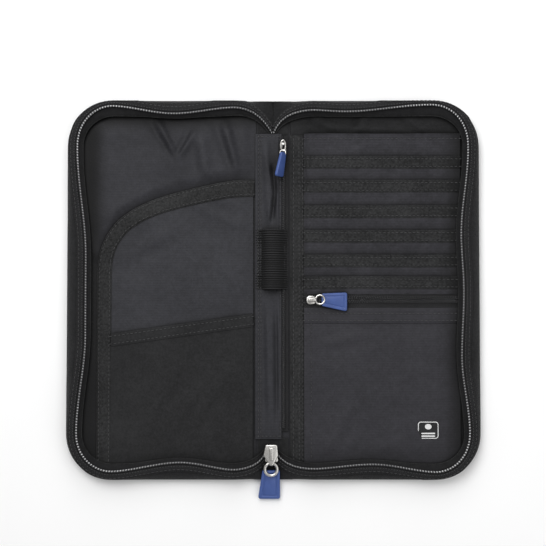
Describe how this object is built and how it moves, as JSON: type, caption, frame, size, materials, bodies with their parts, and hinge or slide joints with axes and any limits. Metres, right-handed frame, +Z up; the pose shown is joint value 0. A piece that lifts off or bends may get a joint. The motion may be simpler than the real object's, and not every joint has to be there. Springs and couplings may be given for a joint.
{
  "type": "passport holder",
  "caption": "Zip-round travel wallet lying open like a book, with card slots, zip and slip pockets, pen loop, metal sliders and rubber pulls.",
  "frame": {"origin": "middle of the spine's underside, on the surface the open wallet lies on", "axes": "+X towards the right cover with the card slots, +Y towards the top edge, +Z up out of the open wallet"},
  "size_m": [0.2626, 0.2536, 0.0126],
  "materials": {
    "outer_fabric": "woven polyester, matt",
    "lining_nylon": "fine ripstop nylon, soft sheen",
    "pocket_twill": "twill",
    "binding": "grosgrain",
    "elastic": "ribbed elastic",
    "zip_tape": "herringbone tape",
    "zip_coil": "nylon coil",
    "slider_metal": "polished",
    "pull_rubber": "matt moulded",
    "stiffener": "fibre board",
    "shield_foil": "foil",
    "badge": "printed"
  },
  "bodies": {
    "spine": {"spine_outer_skin": "outer_fabric", "spine_board": "stiffener", "spine_lining": "lining_nylon", "pen_loop": "elastic", "side_zip_inner_tape": "zip_tape", "side_zip_outer_tape": "zip_tape", "side_zip_chain": "zip_coil", "zip_bottom_tab": "outer_fabric", "zip_top_tab": "outer_fabric", "main_slider_body": "slider_metal", "main_slider_bridge": "slider_metal"},
    "left_cover": {"left_outer_skin": "outer_fabric", "left_board": "stiffener", "left_lining": "lining_nylon", "left_gusset": "outer_fabric", "left_zip_tape": "zip_tape", "left_zip_coil": "zip_coil", "document_pocket": "lining_nylon", "document_pocket_binding": "binding", "mesh_pocket": "pocket_twill", "mesh_pocket_hem": "binding"},
    "right_cover": {"right_outer_skin": "outer_fabric", "right_board": "stiffener", "right_lining": "lining_nylon", "right_gusset": "outer_fabric", "right_zip_tape": "zip_tape", "right_zip_coil": "zip_coil", "shield_sheet": "shield_foil", "side_zip_binding": "binding", "pocket_zip_upper_tape": "zip_tape", "pocket_zip_lower_tape": "zip_tape", "pocket_zip_chain": "zip_coil", "zip_pocket_panel": "lining_nylon", "zip_pocket_hem": "binding", "zip_pocket_badge": "badge", "card_slot_1": "lining_nylon", "card_slot_2": "lining_nylon", "card_slot_hem_2": "binding", "card_slot_3": "lining_nylon", "card_slot_hem_3": "binding", "card_slot_4": "lining_nylon", "card_slot_hem_4": "binding", "card_slot_5": "lining_nylon", "card_slot_hem_5": "binding", "card_slot_6": "lining_nylon", "card_slot_hem_6": "binding", "card_slot_7": "lining_nylon", "card_slot_hem_7": "binding"},
    "main_pull": {"main_pull_ring": "slider_metal", "main_pull_tab": "pull_rubber"},
    "side_slider": {"side_slider_body": "slider_metal", "side_slider_bridge": "slider_metal"},
    "side_pull": {"side_pull_ring": "slider_metal", "side_pull_tab": "pull_rubber"},
    "pocket_slider": {"pocket_slider_body": "slider_metal", "pocket_slider_bridge": "slider_metal"},
    "pocket_pull": {"pocket_pull_ring": "slider_metal", "pocket_pull_tab": "pull_rubber"}
  },
  "joints": [
    {"name": "left_cover_fold", "type": "hinge", "parent": "spine", "child": "left_cover", "pos_m": [-0.012, 0, 0], "axis": [0, 1, 0], "range_deg": [0, 90]},
    {"name": "right_cover_fold", "type": "hinge", "parent": "spine", "child": "right_cover", "pos_m": [0.012, 0, 0], "axis": [0, -1, 0], "range_deg": [0, 90]},
    {"name": "main_pull_swing", "type": "hinge", "parent": "spine", "child": "main_pull", "pos_m": [-0.0014, -0.1097, 0.00768], "axis": [1, 0, 0], "range_deg": [-110, 0]},
    {"name": "side_zip_slide", "type": "slide", "parent": "spine", "child": "side_slider", "axis": [0, -1, 0], "range_m": [0, 0.158]},
    {"name": "side_pull_swing", "type": "hinge", "parent": "side_slider", "child": "side_pull", "pos_m": [0.0066, 0.0888, 0.006], "axis": [1, 0, 0], "range_deg": [-90, 0]},
    {"name": "pocket_zip_slide", "type": "slide", "parent": "right_cover", "child": "pocket_slider", "axis": [1, 0, 0], "range_m": [0, 0.068]},
    {"name": "pocket_pull_swing", "type": "hinge", "parent": "pocket_slider", "child": "pocket_pull", "pos_m": [0.0267, -0.0067, 0.00705], "axis": [0, 1, 0], "range_deg": [-105, 0]}
  ]
}
